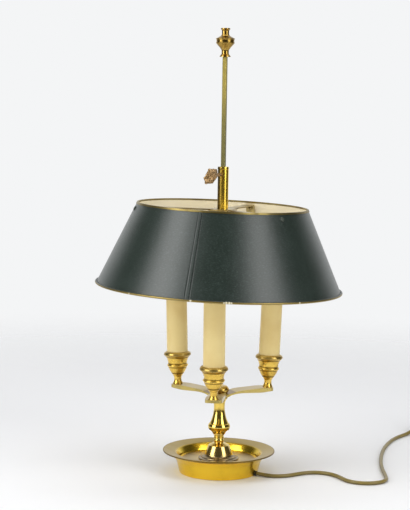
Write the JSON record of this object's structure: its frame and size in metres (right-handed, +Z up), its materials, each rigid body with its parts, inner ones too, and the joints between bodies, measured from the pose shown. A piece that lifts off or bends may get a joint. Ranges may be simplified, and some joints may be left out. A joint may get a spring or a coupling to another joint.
{
  "type": "bouillotte lamp",
  "caption": "Candle-arm table lamp with a dished foot, a turned stem, and a painted sheet-metal cone shade that slides on a square rod and clamps with a key.",
  "frame": {"origin": "on the stem's axis, at the felt's underside, where the lamp stands on the table", "axes": "+Z up along the square rod; -Y is the front, the side that the foremost candle arm points to; +X is to the right, where the cord leaves"},
  "size_m": [0.5645, 0.4824, 0.5426],
  "materials": {
    "polished_brass": "polished, slightly tarnished",
    "bar_brass": "dull tarnished brass",
    "key_metal": "rough cast, worn",
    "cast_iron": "rough",
    "felt": "felt",
    "black_rubber": "dull",
    "zinc_steel": "zinc plated",
    "holder_plastic": "moulded",
    "candle_card": "satin ivory",
    "bulb_glass": "clear",
    "cap_metal": "satin",
    "wire_cover": "plain",
    "shade_paint": "satin dark green enamel, cream inside",
    "cord_cover": "gold-olive flexible sheath",
    "fitting_plastic": "moulded",
    "pin_metal": "nickel plated"
  },
  "bodies": {
    "root": {"arm_channel_covers": "polished_brass", "arm_cross": "polished_brass", "arm_wires": "wire_cover", "base_ballast": "cast_iron", "base_dish": "polished_brass", "base_felt": "felt", "bulb_cap_front": "cap_metal", "bulb_cap_left": "cap_metal", "bulb_cap_right": "cap_metal", "bulb_glass_front": "bulb_glass", "bulb_glass_left": "bulb_glass", "bulb_glass_right": "bulb_glass", "candle_sleeve_front": "candle_card", "candle_sleeve_left": "candle_card", "candle_sleeve_right": "candle_card", "cord_bushing": "black_rubber", "cord_coil": "cord_cover", "cord_lead": "cord_cover", "cord_link": "cord_cover", "cord_tail": "cord_cover", "cup_front": "polished_brass", "cup_left": "polished_brass", "cup_right": "polished_brass", "holder_nipples": "zinc_steel", "holder_nuts": "zinc_steel", "hub_dome": "polished_brass", "inner_lead": "wire_cover", "lampholder_front": "holder_plastic", "lampholder_left": "holder_plastic", "lampholder_right": "holder_plastic", "plug_body": "fitting_plastic", "plug_pins": "pin_metal", "square_bar": "bar_brass", "stem_ball": "polished_brass", "stem_baluster": "polished_brass", "stem_bell_foot": "polished_brass", "stem_collar": "polished_brass", "stem_nut": "zinc_steel", "stem_tube": "zinc_steel", "stem_washer": "zinc_steel", "switch_lower": "fitting_plastic", "switch_upper": "fitting_plastic"},
    "shade": {"shade_sleeve": "polished_brass", "spider_nut": "polished_brass", "shade_spider": "polished_brass", "shade_shell": "shade_paint", "shade_top_rim": "polished_brass", "shade_bottom_rim": "shade_paint", "shade_screws": "polished_brass", "shade_ball_nuts": "polished_brass"},
    "key": {"clamp_key": "key_metal"},
    "finial": {"finial": "polished_brass"},
    "rocker": {"switch_rocker": "fitting_plastic"}
  },
  "joints": [
    {"name": "shade_slide", "type": "slide", "parent": "root", "child": "shade", "axis": [0, 0, 1], "range_m": [-0.21, 0.1315]},
    {"name": "key_turn", "type": "hinge", "parent": "shade", "child": "key", "pos_m": [0, 0, 0.3668], "axis": [-0.342, -0.9397, 0], "range_deg": [0, 180]},
    {"name": "finial_turn", "type": "hinge", "parent": "root", "child": "finial", "pos_m": [0, 0, 0.5082], "axis": [0, 0, 1], "range_deg": [0, 360]},
    {"name": "rocker_tilt", "type": "hinge", "parent": "root", "child": "rocker", "pos_m": [0.29414, 0.26386, 0.014], "axis": [0.7193, -0.6947, 0], "range_deg": [-16, 0]}
  ]
}
